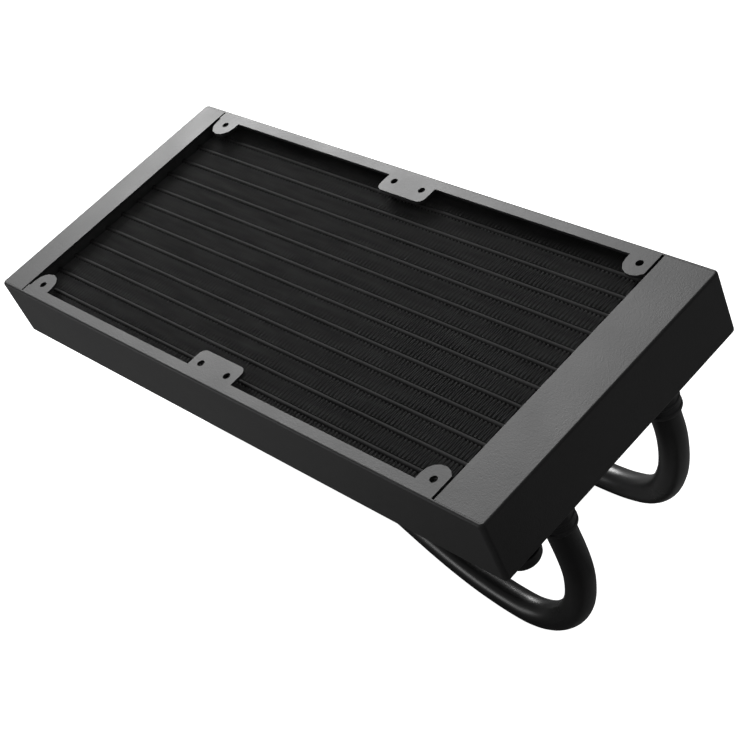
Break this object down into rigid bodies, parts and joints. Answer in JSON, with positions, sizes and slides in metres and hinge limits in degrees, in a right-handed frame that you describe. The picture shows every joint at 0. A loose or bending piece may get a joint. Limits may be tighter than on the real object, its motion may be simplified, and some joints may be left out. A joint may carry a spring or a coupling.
{
  "type": "liquid cooling radiator",
  "caption": "Flat black radiator for a liquid cooling loop, with a finned core between two tanks, screw tabs for fans and two rubber hoses that end in swivel elbows.",
  "frame": {"origin": "centre of the eight fan screws, in the plane of the fan side of the rails and tanks", "axes": "+X along the radiator towards the wide tank with the hose ports, +Y across it, +Z out of the fan side; the hoses leave towards -Z"},
  "size_m": [0.274, 0.12, 0.1144],
  "materials": {
    "tank_paint": "satin, fine textured powder coat",
    "rail_paint": "satin, fine textured powder coat",
    "core_paint": "matte, thin black paint",
    "tube_paint": "matte, thin black paint",
    "fin_paint": "matte, thin black paint over bare aluminium",
    "black_metal": "satin, black anodised",
    "nickel_metal": "satin, nickel plated",
    "elbow_plastic": "matte, fine moulded grain",
    "hose_rubber": "smooth rubber with a soft gloss",
    "seal_rubber": "matte rubber"
  },
  "bodies": {
    "radiator": {"elbow_a": "elbow_plastic", "elbow_b": "elbow_plastic", "elbow_ferrule_a": "black_metal", "elbow_ferrule_b": "black_metal", "fill_port_boss": "tank_paint", "fin_strip_01": "fin_paint", "fin_strip_02": "fin_paint", "fin_strip_03": "fin_paint", "fin_strip_04": "fin_paint", "fin_strip_05": "fin_paint", "fin_strip_06": "fin_paint", "fin_strip_07": "fin_paint", "fin_strip_08": "fin_paint", "fin_strip_09": "fin_paint", "fin_strip_10": "fin_paint", "fin_strip_11": "fin_paint", "fin_strip_12": "fin_paint", "fin_strip_13": "fin_paint", "flat_tube_01": "tube_paint", "flat_tube_02": "tube_paint", "flat_tube_03": "tube_paint", "flat_tube_04": "tube_paint", "flat_tube_05": "tube_paint", "flat_tube_06": "tube_paint", "flat_tube_07": "tube_paint", "flat_tube_08": "tube_paint", "flat_tube_09": "tube_paint", "flat_tube_10": "tube_paint", "flat_tube_11": "tube_paint", "flat_tube_12": "tube_paint", "hose_a": "hose_rubber", "hose_b": "hose_rubber", "hose_port_a": "black_metal", "hose_port_b": "black_metal", "port_ferrule_a": "black_metal", "port_ferrule_b": "black_metal", "port_header_plate": "core_paint", "port_tank_shell": "tank_paint", "return_header_plate": "core_paint", "return_tank_shell": "tank_paint", "side_rail_far": "rail_paint", "side_rail_near": "rail_paint", "swivel_clip_a": "nickel_metal", "swivel_clip_b": "nickel_metal", "swivel_seal_a": "seal_rubber", "swivel_seal_b": "seal_rubber", "tank_divider": "core_paint"},
    "fill_plug_carriage": {"fill_plug_seal": "seal_rubber"},
    "fill_plug": {"fill_plug": "black_metal"},
    "rotary_base_a": {"rotary_base_a": "nickel_metal", "base_seal_a": "seal_rubber"},
    "rotary_base_b": {"rotary_base_b": "nickel_metal", "base_seal_b": "seal_rubber"}
  },
  "joints": [
    {"name": "fill_plug_travel", "type": "slide", "parent": "radiator", "child": "fill_plug_carriage", "axis": [0, 0, -1], "range_m": [0, 0.0075]},
    {"name": "fill_plug_turn", "type": "hinge", "parent": "fill_plug_carriage", "child": "fill_plug", "pos_m": [0.13, -0.045, -0.0335], "axis": [0, 0, -1], "range_deg": [0, 2160]},
    {"name": "rotary_base_a_swivel", "type": "hinge", "parent": "radiator", "child": "rotary_base_a", "pos_m": [-0.122, -0.0135, -0.1065], "axis": [0, 1, 0], "continuous": true},
    {"name": "rotary_base_b_swivel", "type": "hinge", "parent": "radiator", "child": "rotary_base_b", "pos_m": [-0.122, 0.0174, -0.1065], "axis": [0, 1, 0], "continuous": true}
  ],
  "couplings": [
    {"joint": "fill_plug_turn", "follows": "fill_plug_travel", "rad_per_m": 5026.5}
  ]
}
